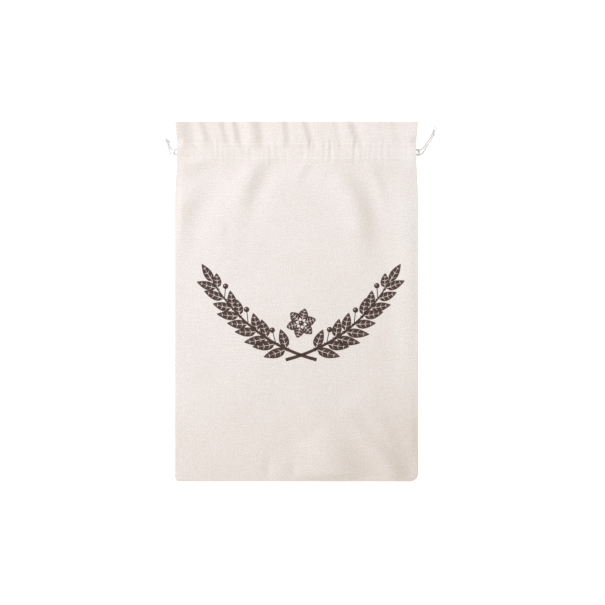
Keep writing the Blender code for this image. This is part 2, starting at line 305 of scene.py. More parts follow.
cotton, cotton_shader = new_material("twisted cotton", roughness=0.85, sheen=0.3)
cotton_tree = cotton.node_tree
cotton_place = add_node(cotton_tree, "ShaderNodeTexCoord").outputs["Object"]
cotton_fibres = noise_node(cotton_tree, cotton_place, **COTTON_FIBRES)
cotton_tones = noise_node(cotton_tree, cotton_place, **COTTON_TONES)
cotton_tone = math_node(
    cotton_tree, "MULTIPLY_ADD", cotton_tones, COTTON_CONTRAST, (1 - COTTON_CONTRAST) / 2, clamp=True
)
cotton_colour = colour_node(cotton_tree, cotton_tone, COTTON_SHADE, COTTON)
finish_surface(cotton_tree, cotton_shader, cotton_colour, cotton_fibres, strength=0.5, depth=0.0002)

cord_paths, cords = {}, {}
for cord_name, cord_side in SIDES.items():
    cord_paths[cord_name] = smooth_path(cord_route(cord_name), RING_STEP)
    cords[cord_name] = make_piece(
        f"cord_{cord_name}", twisted_tube(cord_paths[cord_name], CORD / 2), cotton, "cord"
    )
    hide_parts(f"drawcord_{cord_name}")


# ---------------------------------------------------------------------------------- knots
# An overhand knot ties the two ends of each cord together, pulled tight, with its short ends fraying. Its
# turns lie in the space of the knot's solid.
KNOT_HALF = {"left": (4.0, 3.1, 3.0), "right": (5.6, 2.9, 2.9)}  # millimetres
KNOT_HEADING = {"left": 110.0, "right": 66.0}  # degrees from +X
KNOT_STRAND = 0.95  # radius of the cord where it is pulled tight in the knot, in millimetres
KNOT_REACH = 3.0  # how far the unit curve below reaches from its middle
KNOT_FILL = (1.1, 1.0, 0.62)  # shares of the room in the solid that the curve fills
KNOT_STEPS = 96
TAILS = {  # each cord's two short ends: how far they go past the knot, sideways and up, in millimetres
    "left": ((1.0, 1.6, 0.6), (1.6, -0.8, -0.3)),
    "right": ((3.0, 1.2, 0.8), (3.6, -0.9, 0.2)),
}
TAIL_ROOT = (0.3, 0.6, 0.4)  # where a tail starts inside the knot, as shares of those distances
TAIL_SPREAD = 1.5  # how many times that distance sideways the tip stands off
TAIL_DROOP, TAIL_ARCH = 1.4, 0.5  # how far the tip sinks and the middle rises, in millimetres
TAIL_THICKNESS = 0.85  # as a share of the knot's strand
FRAYED_FIBRES = 14
FIBRE_RADIUS, FIBRE_TAPER = 0.00007, 1.6  # at its tip, and how many times as thick it starts
FIBRE_LENGTH = (0.0010, 0.0024)
FIBRE_STRAY = 0.42
FIBRE_ROOT, FIBRE_AIM = 0.0006, 0.8  # what a fibre's straying does to where it starts, and to where it aims
fray_random = np.random.default_rng(4)


def knot_curve(name):
    """A closed three-lobed overhand turn, fitted to the knot's solid."""
    room = [half - KNOT_STRAND for half in KNOT_HALF[name]]
    turn = Matrix.Rotation(math.radians(KNOT_HEADING[name]), 4, "Z")
    points = []
    for t in np.linspace(0, 2 * math.pi, KNOT_STEPS + 1):
        x = (math.sin(t) + 2 * math.sin(2 * t)) / KNOT_REACH * room[0] * KNOT_FILL[0]
        y = (math.cos(t) - 2 * math.cos(2 * t)) / KNOT_REACH * room[1] * KNOT_FILL[1]
        z = -math.sin(3 * t) * room[2] * KNOT_FILL[2]
        points.append((Vector(KNOT_MIDDLES[name]) + turn @ Vector((x, y, z))) * MM)
    return points


def add_mesh(target, source):
    """The source bmesh joined into the target one."""
    scratch = bpy.data.meshes.new("scratch")
    source.to_mesh(scratch)
    source.free()
    target.from_mesh(scratch)
    bpy.data.meshes.remove(scratch)


for cord_name, cord_side in SIDES.items():
    knot_mesh = twisted_tube(knot_curve(cord_name), KNOT_STRAND * MM)
    turn = Matrix.Rotation(math.radians(KNOT_HEADING[cord_name]), 4, "Z")
    middle = Vector(KNOT_MIDDLES[cord_name])
    for along, across, up in TAILS[cord_name]:
        root_place = Vector((along, across, up)) * Vector(TAIL_ROOT)
        tip_place = Vector((KNOT_HALF[cord_name][0] + along, across * TAIL_SPREAD, up - TAIL_DROOP))
        root, tip = ((middle + turn @ place) * MM for place in (root_place, tip_place))
        arch = root.lerp(tip, 0.5) + Vector((0, 0, TAIL_ARCH * MM))
        tail = smooth_path([root, arch, tip], RING_STEP)
        add_mesh(knot_mesh, twisted_tube(tail, KNOT_STRAND * MM * TAIL_THICKNESS))
        heading = (tip - root).normalized()
        for _ in range(FRAYED_FIBRES):
            stray = Vector(fray_random.normal(0, FIBRE_STRAY, 3))
            start = tip + stray * FIBRE_ROOT
            end = start + (heading + stray * FIBRE_AIM).normalized() * fray_random.uniform(*FIBRE_LENGTH)
            end.z = max(end.z, 2 * FIBRE_RADIUS)
            fibre = bmesh.new()
            bmesh.ops.create_cone(
                fibre, cap_ends=True, segments=5, depth=(end - start).length,
                radius1=FIBRE_RADIUS * FIBRE_TAPER, radius2=FIBRE_RADIUS,
            )
            aim = (end - start).to_track_quat("Z", "Y").to_matrix().to_4x4()
            bmesh.ops.transform(fibre, matrix=Matrix.Translation((start + end) / 2) @ aim, verts=fibre.verts)
            add_mesh(knot_mesh, fibre)
    knot = make_piece(f"tied_end_{cord_name}", knot_mesh, cotton, "cord")
    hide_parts(f"knot_{cord_name}")
    channel_run(cord_side, CORD_LINE + cord_side * STRAND_OFFSET, True)[0]


# ---------------------------------------------------------------------------------- linen cloth
# Each panel is one length of plain-woven natural linen, half a millimetre thick. Its sides and foot are
# turned in for the seams, and its top is turned down inside as the hem that forms the channel.
BAG_HALF = 0.150
FOOT, TOP = -0.2215, 0.2215
UPPER_ROW, LOWER_ROW = 0.1939, 0.1765
HEM_END = 0.1745
CHANNEL_MIDDLE = (UPPER_ROW + LOWER_ROW) / 2
DRAWN_IN = 0.003  # how far the cords draw each side in at the channel
DRAW_IN_REACH = {"up": 0.050, "down": 0.062}
CORNER_RADIUS = {-1: 0.005, 1: 0.0105}
CLOTH = 0.0005
ROLL = 0.000275  # radius of the middle of the cloth where an edge is turned in
EDGE = ROLL + CLOTH / 2
ALLOWANCE = 0.007
ROLL_STEPS = 4
PRESSED_GAP = 0.0008  # between the middles of the two layers at a row of stitching
FOLD_GAP = 0.0016  # the same in the frill
CHANNEL_GAP = 0.0043  # the same in the channel
MOUTH = TOP - FOLD_GAP / 2 - CLOTH / 2  # where the cloth starts to turn down
CHANNEL_RAMP = 0.0033  # from a row of stitching, the length over which a gap opens fully
HEM_SIDE, HEM_SIDE_RAMP = 0.012, 0.004  # how near the sides the hem makes room for the turned-in edges
SIDE_LIFT, SIDE_LIFT_REACH = 0.0016, 0.011  # how far the front gapes at the open ends of its channel
SIDE_LIFT_START, SIDE_LIFT_RAMP = 0.148, 0.018  # where that starts along Y, and over what length
FRONT_COLUMNS, BACK_COLUMNS = 270, 135
FOOT_ROWS = (0.0, 0.0003, 0.0009, 0.0018, 0.0032, 0.0050, 0.0075, 0.0105)  # above the foot's roll
FRONT_BODY = ((-0.135, 22), (0.055, 28), (0.1545, 28))  # where each stretch above those ends, and its rows
BACK_BODY = ((0.1545, 30),)
TOP_ROWS = (16, 20, 20)  # up to the lower and the upper row of stitching, and up to the mouth
HEM_FRILL_ROWS, HEM_CHANNEL_ROWS = 8, 11
TURN_ROWS = 5
CAD_RIM = 0.0007  # the CAD's heights are read this far inside its sides
SMOOTH = 0.009  # reach of the smoothing of those heights

# Creases in the front, in millimetres: the line that each follows, from start to end by way of a bend, its
# half width, and its height. Along a drop the cloth stands high on the left of the line and low on the
# right. A ridge is the same on both sides, and a hollow is a ridge of negative height.
DROPS = (
    ((-100, 182), (-122, 164), (-146, 148), 16.0, 4.6),
    ((-92, 162), (-134, 136), (-140, 56), 21.0, 5.8),
    ((-27, 180), (-58, 152), (-62, 108), 15.0, 5.2),
    ((-90, 92), (-88, 86), (-90, 80), 6.0, 1.4),
    ((42, 164), (92, 148), (88, 62), 18.0, 7.2),
    ((19, 172), (10, 158), (2, 146), 7.0, 1.3),
    ((86, 176), (104, 160), (112, 116), 8.0, 1.8),
    ((44, -146), (70, -186), (90, -244), 42.0, 15.0),
    ((98, -140), (124, -180), (140, -226), 16.0, 4.4),
)
RIDGES = (
    ((-75, 150), (-95, 110), (-100, 60), 26.0, 0.8),
    ((138, 190), (139, 20), (138, -130), 12.0, 0.9),
    ((113, 160), (114, 20), (113, -110), 16.0, -1.2),
    ((64, -110), (112, -160), (126, -216), 34.0, 7.5),
    ((64, -150), (100, -186), (134, -232), 8.0, 2.4),
    ((78, -140), (112, -178), (136, -202), 8.0, -2.6),
    ((-34, -192), (-35, -206), (-35, -220), 6.0, -1.2),
    ((-5, -198), (-4, -208), (-4, -220), 6.0, -1.2),
)
# The frill's ruffles are drops: their places at the mouth and at the channel, half widths and heights.
RUFFLES = (
    (-137, -134, 17.0, 6.4),
    (-110, -104, 22.0, 4.6),
    (-117, -109, 7.0, 3.2),
    (-92, -85, 7.0, 3.8),
    (-77, -71, 7.5, 5.2),
    (-50, -46, 11.0, 5.6),
    (-15, -12, 6.0, 2.3),
    (9, 17, 6.5, 3.2),
    (46, 50, 6.0, 1.0),
    (65, 74, 8.5, 3.8),
    (118, 122, 7.0, 0.9),
)
FRILL_LIFT = {"middle": 5.4, "sides": 8.0}  # how far the frill's mouth stands up, in millimetres
# Small puckers that the drawn cords leave across the channel. The first ones are placed, and the rest are
# scattered between them.
PUCKERS = (-126, -102, -91, -77, -65, -34, -27, -24, 8, 19, 33, 40, 50, 70, 76, 89, 97)
SCATTERED_PUCKERS = 34
PUCKER_HALF, PUCKER_HEIGHT = (1.9, 3.2), (0.20, 0.52)
PUCKER_DROP, PUCKER_RISE = (5.0, 16.0), (2.0, 14.0)  # how far they reach below and above the channel
PUCKER_LEAN = 0.08
WAVES = 26  # slow rises and hollows all over the panel
WAVE_HALF, WAVE_HEIGHT = (14.0, 34.0), 0.22
SCATTER_X, SCATTER_Y = (-140, 140), (-215, 160)  # where waves and puckers are scattered
CREASE_STEPS = 60  # points at which a crease's line is measured
CREASE_REACH = 2.6  # half widths past which a crease no longer shows
CREASE_END = 0.08  # share of a half wave that is missing at each end of a crease
FOOT_CALM = 0.009  # above the foot, the length over which creases reach their height
SIDE_CALM = 0.009  # the same from the sides
FREE_SIDE = 0.012  # above the channel, the length over which creases come to reach the frill's very sides
CHANNEL_CALM, CHANNEL_CALM_RAMP = 0.008, 0.012  # below the channel, where the body's creases start to fade
RUFFLE_START, RUFFLE_RAMP = 0.35, 0.6  # start below the upper row, and growth, in heights of the frill
LIFT_START = 0.2  # where the frill starts to rise, the same
LOWEST_FRONT = 0.0013  # the middle of the front's cloth stays above the back's
STITCH_RADIUS = 0.00022  # the back lies on its stitches
linen_random = np.random.default_rng(11)


def ease(share):
    """0 to 1, level at both ends."""
    share = np.clip(share, 0.0, 1.0)
    return share * share * (3 - 2 * share)


def half_width(side, y):
    """From the middle of the bag to its edge on that side."""
    reach = DRAW_IN_REACH["up"] if y > CHANNEL_MIDDLE else DRAW_IN_REACH["down"]
    radius = CORNER_RADIUS[side]
    below = 1 - min(1.0, (y - FOOT) / radius)
    corner = radius * (1 - math.sqrt(max(0.0, 1 - below * below)))
    return BAG_HALF - DRAWN_IN * (1 - ease(abs(y - CHANNEL_MIDDLE) / reach)) - corner


def cloth_half(side, y):
    """The same to the middle of the cloth where it turns in at the edge."""
    return half_width(side, max(y - EDGE, FOOT)) - EDGE


def outer_rows(body):
    """Places along Y of the outer layer's rows: close together at the foot's corners and the channel."""
    parts = [FOOT + EDGE + np.array(FOOT_ROWS)]
    for end, count in [*body, *zip((LOWER_ROW, UPPER_ROW, MOUTH), TOP_ROWS)]:
        parts.append(np.linspace(parts[-1][-1], end, count + 1)[1:])
    return np.concatenate(parts)


def hem_rows():
    """Places along Y of the hem's rows, from the mouth down to its end."""
    frill = np.linspace(MOUTH, UPPER_ROW, HEM_FRILL_ROWS + 1)[1:]
    channel = np.linspace(UPPER_ROW, LOWER_ROW, HEM_CHANNEL_ROWS + 1)[1:]
    return np.concatenate([frill, channel, [HEM_END]])


def blurred(values, places, reach, axis):
    """Values smoothed along one axis. Past each end they go on as their own mirror image, upside down."""
    values = np.moveaxis(values, axis, 0)
    ends = np.concatenate([2 * values[:1] - values[:0:-1], values, 2 * values[-1:] - values[-2::-1]])
    mirrored = np.concatenate([2 * places[0] - places[:0:-1], places, 2 * places[-1] - places[-2::-1]])
    weight = np.exp(-0.5 * ((places[:, None] - mirrored[None, :]) / reach) ** 2)
    weight *= np.gradient(mirrored)
    weight /= weight.sum(axis=1, keepdims=True)
    return np.moveaxis(np.tensordot(weight, ends, axes=1), 0, axis)


def bent_line(corners, t):
    """Points on a curve from the first corner to the third, pulled towards the second, at shares t of it."""
    return np.stack([(1 - t) ** 2, 2 * t * (1 - t), t**2], axis=1) @ np.array(corners, float)


def crease(x, y, start, bend, end, half, height, is_drop):
    """Height of one crease over a grid of places, in millimetres. It fades to both ends of its line."""
    t = np.linspace(0, 1, CREASE_STEPS)
    points = bent_line([start, bend, end], t)
    along = np.gradient(points, axis=0)
    along /= np.linalg.norm(along, axis=1)[:, None]
    left = np.stack([along[:, 1], -along[:, 0]], axis=1)
    left *= np.where(left[:, :1] > 0, -1, 1)
    total = np.zeros_like(x)
    reach = CREASE_REACH * half
    inside = (x > points[:, 0].min() - reach) & (x < points[:, 0].max() + reach)
    inside &= (y > points[:, 1].min() - reach) & (y < points[:, 1].max() + reach)
    away = np.stack([x[inside], y[inside]], axis=1)[:, None, :] - points[None]
    distance = np.hypot(away[..., 0], away[..., 1])
    nearest = distance.argmin(axis=1)
    picked = np.arange(len(nearest))
    shape = np.exp(-((distance[picked, nearest] / half) ** 2))
    if is_drop:
        shape *= (away[picked, nearest] * left[nearest]).sum(axis=1) / half
    wave = CREASE_END + (1 - 2 * CREASE_END) * t[nearest]
    total[inside] = height * shape * np.sin(math.pi * wave)
    return total


def front_creases(x, y):
    """Height of all the front's creases over a grid of places, in millimetres."""
    total = np.zeros_like(x)
    for table, is_drop in ((DROPS, True), (RIDGES, False)):
        for row in table:
            total += crease(x, y, *row, is_drop)
    for _ in range(WAVES):
        middle = np.array([linen_random.uniform(*SCATTER_X), linen_random.uniform(*SCATTER_Y)])
        half = linen_random.uniform(*WAVE_HALF)
        reach = linen_random.normal(0, 0.5 * half, 2)
        height = linen_random.normal(0, WAVE_HEIGHT)
        total += crease(x, y, middle - reach, middle, middle + reach, half, height, False)
    return total


def channel_creases(x, y):
    """Height of the frill's ruffles and of the channel's puckers, in millimetres."""
    upper, lower, top = UPPER_ROW / MM, LOWER_ROW / MM, TOP / MM
    up = (y - upper) / (top - upper)
    total = np.zeros_like(x)
    for at_mouth, at_channel, half, height in RUFFLES:
        away = (x - at_channel - (at_mouth - at_channel) * up) / half
        total -= height * away * np.exp(-(away**2)) * ease((up + RUFFLE_START) / RUFFLE_RAMP)
    sideways = (x / (BAG_HALF / MM)) ** 2
    lift = FRILL_LIFT["middle"] + (FRILL_LIFT["sides"] - FRILL_LIFT["middle"]) * sideways
    total += lift * np.clip(up + LIFT_START, 0, None) / (1 + LIFT_START)
    scattered = linen_random.uniform(*SCATTER_X, SCATTERED_PUCKERS)
    for place in [*PUCKERS, *scattered]:
        half = linen_random.uniform(*PUCKER_HALF)
        height = linen_random.uniform(*PUCKER_HEIGHT)
        lean = linen_random.normal(0, PUCKER_LEAN)
        reach_down = linen_random.uniform(*PUCKER_DROP)
        reach_up = linen_random.uniform(*PUCKER_RISE)
        away = (x - place - lean * (y - lower)) / half
        fade = ease((y - lower + reach_down) / reach_down) * ease((upper + reach_up - y) / reach_up)
        total -= height * away * np.exp(-(away**2)) * fade
    return total


def side_lift(y, x, half):
    """Rise of the front towards the open ends of its channel."""
    at_side = np.exp(-(((half - np.abs(x)) / SIDE_LIFT_REACH) ** 2))
    return SIDE_LIFT * at_side * ease((y - SIDE_LIFT_START) / SIDE_LIFT_RAMP)


def layer_gap(y, x, half, lift=0.0):
    """From the middle of the outer layer to the middle of the hem."""
    into_channel = np.minimum(y - LOWER_ROW, UPPER_ROW - y)
    opened = ease(into_channel / CHANNEL_RAMP)
    loose = ease(-into_channel / CHANNEL_RAMP)
    gap = PRESSED_GAP + (CHANNEL_GAP + lift - PRESSED_GAP) * opened + (FOLD_GAP - PRESSED_GAP) * loose
    at_side = ease((np.abs(x) - half + HEM_SIDE) / HEM_SIDE_RAMP)
    return gap + (np.maximum(gap, FOLD_GAP) - gap) * at_side


def cloth_height(panel_rows, panel_heights, x, y):
    """Height of the middle of a panel's outer layer at a place."""
    share = x / cloth_half(1 if x > 0 else -1, y)
    columns = np.linspace(-1, 1, panel_heights.shape[1])
    row = int(np.clip(np.searchsorted(panel_rows, y, side="right") - 1, 0, len(panel_rows) - 2))
    up = (y - panel_rows[row]) / (panel_rows[row + 1] - panel_rows[row])
    lower, upper = (np.interp(share, columns, panel_heights[k]) for k in (row, row + 1))
    return float(lower * (1 - up) + upper * up)


def make_panel(outer_height, rows, inwards):
    """One panel's bmesh. outer_height is the outer layer's height at each row and column, and inwards is the
    direction along Z from the outer layer to the inside of the bag."""
    hem = hem_rows()
    columns = outer_height.shape[1]
    shares = np.linspace(-1, 1, columns)
    total = len(rows) + TURN_ROWS - 1 + len(hem)
    cloth = bmesh.new()
    bmesh.ops.create_grid(cloth, x_segments=columns - 1, y_segments=total - 1, size=0.5)
    outward = cloth.verts.layers.float_vector.new("outward")
    wrong_side = cloth.verts.layers.float_vector.new("wrong side")
    flat = cloth.verts.layers.float_vector.new("flat")
    fold_radius = FOLD_GAP / 2
    for vertex in cloth.verts:
        column = round((vertex.co.x + 0.5) * (columns - 1))
        row = round((vertex.co.y + 0.5) * (total - 1))
        share = shares[column]
        side = 1 if share > 0 else -1
        turned = 0.0
        if row < len(rows):
            y = rows[row]
        elif row < len(rows) + TURN_ROWS - 1:
            turned = math.pi * (row - len(rows) + 1) / TURN_ROWS
            y = rows[-1]
        else:
            turned = math.pi
            y = hem[row - len(rows) - TURN_ROWS + 1]
        half = cloth_half(side, y)
        x = share * half
        z = np.interp(y, rows, outer_height[:, column])
        along = y - FOOT
        if turned:
            gap = float(layer_gap(y, x, half, side_lift(y, x, half) if inwards < 0 else 0.0))
            along = (TOP - FOOT) + (TOP - y)
            if turned < math.pi:
                gap = FOLD_GAP * (1 - math.cos(turned)) / 2
                y += fold_radius * math.sin(turned)
                along = TOP - FOOT + fold_radius * (turned - math.pi / 2)
            z += inwards * gap
        vertex.co = Vector((x, y, z))
        vertex[flat] = Vector((share * BAG_HALF, along, 0))
        vertex[wrong_side] = Vector((0, -math.sin(turned), inwards * math.cos(turned)))
        vertex[outward] = edge_direction(column in (0, columns - 1), row == 0, side, x, y)
    turn_in_edges(cloth, outward, wrong_side, flat, lambda x, y: cloth_height(rows, outer_height, x, y))
    uv = cloth.loops.layers.uv.new("flat")
    for face in cloth.faces:
        for loop in face.loops:
            loop[uv].uv = loop.vert[flat].xy
    for name in ("outward", "wrong side", "flat"):
        cloth.verts.layers.float_vector.remove(cloth.verts.layers.float_vector[name])
    return cloth


def edge_direction(at_side, at_foot, side, x, y):
    """The direction out of the cloth at its side or foot, and round its corners. No length elsewhere."""
    if not (at_side or at_foot):
        return Vector((0, 0, 0))
    radius = CORNER_RADIUS[side]
    centre = Vector((side * (BAG_HALF - radius), FOOT + radius, 0))
    if at_side and y >= centre.y:
        return Vector((side, 0, 0))
    if at_side:
        return (Vector((x, y, 0)) - centre).normalized()
    return Vector((0, -1, 0))


def turn_in_edges(cloth, outward, wrong_side, flat, height_at):
    """The sides and the foot rolled over to the wrong side, with a seam allowance that follows the cloth.
    height_at(x, y) is the height of the cloth."""
    edges = [e for e in cloth.edges if e.is_boundary and all(v[outward].length > 0.5 for v in e.verts)]
    last_out, last_in = 0.0, 0.0
    angles = [math.pi * (k + 1) / ROLL_STEPS for k in range(ROLL_STEPS)]
    for angle in [*angles, None]:  # round the roll, and then the allowance
        new = bmesh.ops.extrude_edge_only(cloth, edges=edges)["geom"]
        verts = [item for item in new if isinstance(item, bmesh.types.BMVert)]
        fresh = set(verts)
        edges = [e for e in new if isinstance(e, bmesh.types.BMEdge) and fresh.issuperset(e.verts)]
        out, into, length = -ALLOWANCE, 2 * ROLL, ALLOWANCE
        if angle is not None:
            out, into = ROLL * math.sin(angle), ROLL * (1 - math.cos(angle))
            length = ROLL * math.pi / ROLL_STEPS
        for vertex in verts:
            edge = vertex.co.xy
            vertex.co += vertex[outward] * (out - last_out) + vertex[wrong_side] * (into - last_in)
            if angle is None:
                vertex.co.z += height_at(vertex.co.x, vertex.co.y) - height_at(*edge)
            vertex[flat] += vertex[outward] * length
        last_out, last_in = out, into


def cad_heights(rows, shares):
    """Heights of the outer face of the front's solid over every row and column."""
    heights = np.zeros((len(rows), len(shares)))
    for i, y in enumerate(rows):
        for j, share in enumerate(shares):
            heights[i, j] = front_top(share * (half_width(1 if share > 0 else -1, y) - CAD_RIM), y)
    return heights


def finish_panel(name, cloth, material, replaced):
    """A panel's bmesh as a piece with the cloth's thickness, in the place of its CAD node."""
    piece = make_piece(name, cloth, material, "linen")
    thickness = piece.modifiers.new("cloth thickness", "SOLIDIFY")
    thickness.thickness = CLOTH
    thickness.offset = 0.0
    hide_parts(replaced)
    return piece


# The weave: threads over and under each other, each a little lighter or darker than the next, with slubs
# along them and fuzz all over. It reads the cloth's flat lengths in metres from its UV map.
WANDER = 0.0007  # metres that a thread strays from its line
WANDER_SCALE = 130.0
THREAD_LENGTH = 14.0  # threads crossed before one changes its tone
THREAD_SHIFT = 0.371  # share of that by which the change moves from one thread to the next
OVER_SHARE = 0.6  # height of a thread midway between passing over, at 1, and passing under
SLUB_SCALES = (150.0, 1100.0)  # along and across the yarn
FUZZ_SCALE = 820.0

weave = bpy.data.node_groups.new("plain weave", "ShaderNodeTree")
weave.interface.new_socket("Flat", in_out="INPUT", socket_type="NodeSocketVector")
weave.interface.new_socket("Threads per metre", in_out="INPUT", socket_type="NodeSocketFloat")
for output in ("Thread tone", "Slubs", "Fuzz", "Height"):
    weave.interface.new_socket(output, in_out="OUTPUT", socket_type="NodeSocketFloat")
weave_in = weave.nodes.new("NodeGroupInput").outputs
weave_out = weave.nodes.new("NodeGroupOutput").inputs


def vector_node(operation, values):
    """The result of a vector math node in the weave."""
    return add_node(weave, "ShaderNodeVectorMath", values, operation=operation).outputs[0]


wander_values = {"Vector": weave_in["Flat"], "Scale": WANDER_SCALE, "Detail": 1.0}
wander = add_node(weave, "ShaderNodeTexNoise", wander_values).outputs["Color"]
strayed = vector_node("MULTIPLY_ADD", {0: wander, 1: (WANDER, WANDER, 0.0), 2: weave_in["Flat"]})
counted = vector_node("SCALE", {0: strayed, "Scale": weave_in["Threads per metre"]})
across, along, _ = add_node(weave, "ShaderNodeSeparateXYZ", {0: counted}).outputs


def thread_profile(place):
    """The section of a row of round threads, one to each unit: 0 between two, 1 on top, signed by turns."""
    return math_node(weave, "SINE", math_node(weave, "MULTIPLY", place, math.pi))


def thread_random(place, onward, offset):
    """A number of its own for every length of every thread. onward is the place along the thread."""
    number = math_node(weave, "FLOOR", place)
    lengths = math_node(weave, "MULTIPLY", onward, 1 / THREAD_LENGTH)
    length = math_node(weave, "FLOOR", math_node(weave, "MULTIPLY_ADD", number, THREAD_SHIFT, lengths))
    pair = add_node(weave, "ShaderNodeCombineXYZ", {"X": number, "Y": length, "Z": offset})
    return add_node(weave, "ShaderNodeTexWhiteNoise", {"Vector": pair.outputs[0]}).outputs["Value"]


def slubs(x_scale, y_scale, offset):
    """Streaks that stand for thicker and thinner yarn, long in the direction of the lower scale."""
    scaled = {0: weave_in["Flat"], 1: (x_scale, y_scale, 0.0), 2: (offset, offset, 0.0)}
    return noise_node(weave, vector_node("MULTIPLY_ADD", scaled), Scale=1.0, Detail=2.0)


def thread_top(profile, over, sign):
    """Height of the warp or the weft, which passes over the other where over has that sign."""
    raised = math_node(weave, "MULTIPLY_ADD", over, sign * (1 - OVER_SHARE), OVER_SHARE)
    return math_node(weave, "MULTIPLY", math_node(weave, "ABSOLUTE", profile), raised)


warp, weft = thread_profile(across), thread_profile(along)
warp_over = math_node(weave, "MULTIPLY", warp, weft)
warp_top, weft_top = thread_top(warp, warp_over, 1), thread_top(weft, warp_over, -1)
weave.links.new(math_node(weave, "MAXIMUM", warp_top, weft_top), weave_out["Height"])
warp_shows = math_node(weave, "GREATER_THAN", warp_top, weft_top)
warp_tone, weft_tone = thread_random(across, along, 0.0), thread_random(along, across, 0.5)
thread_tone = add_node(weave, "ShaderNodeMix", {0: warp_shows, 2: weft_tone, 3: warp_tone}).outputs[0]
weave.links.new(thread_tone, weave_out["Thread tone"])
warp_slubs, weft_slubs = slubs(*SLUB_SCALES[::-1], 3.0), slubs(*SLUB_SCALES, 17.0)
slub_sum = math_node(weave, "ADD", warp_slubs, weft_slubs)
weave.links.new(math_node(weave, "MULTIPLY", slub_sum, 0.5), weave_out["Slubs"])
weave.links.new(noise_node(weave, weave_in["Flat"], Scale=FUZZ_SCALE, Detail=2.0), weave_out["Fuzz"])

THREADS_PER_METRE = 1450.0
CLOUDS_PER_METRE = 16.0  # slow changes of tone all over the cloth
RELIEF = 0.00022


def paint_light_and_shade(tree, colour, light_and_shade_patches):
    """The colour with painted light and shade laid on it, one soft patch after another. A patch holds spans
    and what it multiplies the colour by, and a span is an axis, where along it the patch starts and where it
    is full."""
    place = add_node(tree, "ShaderNodeTexCoord").outputs["Object"]
    axes = add_node(tree, "ShaderNodeSeparateXYZ", {0: place}).outputs
    for spans, change in light_and_shade_patches:
        inside = 1.0
        for axis, start, full in spans:
            limits = {"Value": axes[axis], "From Min": start, "From Max": full}
            span = add_node(tree, "ShaderNodeMapRange", limits, interpolation_type="SMOOTHSTEP")
            inside = math_node(tree, "MULTIPLY", inside, span.outputs["Result"])
        values = {0: inside, 6: colour, 7: change}
        mix = add_node(tree, "ShaderNodeMix", values, data_type="RGBA", blend_type="MULTIPLY")
        colour = mix.outputs[2]
    return colour


def woven(name, light, dark, roughness, sheen, contrast, relief, light_and_shade_patches=()):
    """A material with the weave in its colour and its surface, and with any painted light and shade from
    light_and_shade_patches. contrast holds how strongly the threads, the slubs, the fuzz, the hollow places
    between threads and the clouds show in its tone. A positive share paints shade into the hollow places, and
    a negative one leaves them lighter, as where ink does not reach them."""
    material, shader = new_material(name, roughness, sheen)
    tree = material.node_tree
    flat_place = add_node(tree, "ShaderNodeUVMap", uv_map="flat").outputs["UV"]
    threads = add_node(tree, "ShaderNodeGroup", node_tree=weave)
    tree.links.new(flat_place, threads.inputs["Flat"])
    threads.inputs["Threads per metre"].default_value = THREADS_PER_METRE
    shown = (  # what shows, its middle value and how strongly
        (threads.outputs["Thread tone"], 0.5, contrast["threads"]),
        (threads.outputs["Slubs"], 0.5, contrast["slubs"]),
        (threads.outputs["Fuzz"], 0.5, contrast["fuzz"]),
        # the hollow places between threads: painted shade where the share is positive, thinner ink where it
        # is negative
        (threads.outputs["Height"], 0.7, contrast["hollow_shade_and_thin_ink"]),
        (noise_node(tree, flat_place, Scale=CLOUDS_PER_METRE, Detail=3.0), 0.5, contrast["clouds"]),
    )
    tone = 0.5
    for source, middle, strength in shown:
        change = math_node(tree, "MULTIPLY_ADD", source, strength, -middle * strength)
        tone = math_node(tree, "ADD", tone, change)
    colour = colour_node(tree, math_node(tree, "ADD", tone, 0.0, clamp=True), dark, light)
    # painted light and shade, laid over the colour in soft patches
    if light_and_shade_patches:
        colour = paint_light_and_shade(tree, colour, light_and_shade_patches)
    finish_surface(tree, shader, colour, threads.outputs["Height"], relief, RELIEF)
    return material


LINEN_LIGHT = (0.93, 0.875, 0.845, 1.0)
LINEN_DARK = (0.74, 0.66, 0.605, 1.0)
# in the linen, the hollow places between threads are darker: painted shade
LINEN_CONTRAST = {"threads": 0.26, "slubs": 0.9, "fuzz": 2.2, "hollow_shade_and_thin_ink": 0.25, "clouds": 0.3}
# Painted light and shade in the linen's colour: painted light along the right side, whiter and a little
# cooler, then painted shade, creamier, at the left side, the mouth, the foot and the lower right corner.
LINEN_PAINTED_LIGHT_AND_SHADE = (
    ((("X", 0.117, 0.129), ("Y", 0.200, 0.186), ("Y", -0.115, -0.070)), (1.006, 1.034, 1.031, 1.0)),
    ((("X", 0.132, 0.146), ("Y", 0.190, 0.150), ("Y", -0.145, -0.090)), (1.012, 1.022, 1.026, 1.0)),
    ((("X", 0.068, 0.105), ("Y", 0.080, 0.040), ("Y", -0.125, -0.080)), (1.018, 1.018, 1.018, 1.0)),
    ((("X", -0.122, -0.144), ("Y", 0.085, 0.110), ("Y", 0.200, 0.190)), (0.982, 0.976, 0.965, 1.0)),
    ((("X", 0.100, 0.020), ("Y", 0.160, 0.178)), (0.988, 0.983, 0.970, 1.0)),
    ((("Y", -0.090, -0.190),), (0.994, 0.987, 0.976, 1.0)),
    ((("X", 0.040, 0.110), ("Y", -0.115, -0.180)), (0.964, 0.955, 0.948, 1.0)),
    ((("X", 0.090, 0.140), ("Y", -0.165, -0.205)), (0.975, 0.965, 0.960, 1.0)),
)
linen = woven(
    "natural linen", LINEN_LIGHT, LINEN_DARK, roughness=0.9, sheen=0.2,
    contrast=LINEN_CONTRAST, relief=0.45, light_and_shade_patches=LINEN_PAINTED_LIGHT_AND_SHADE,
)

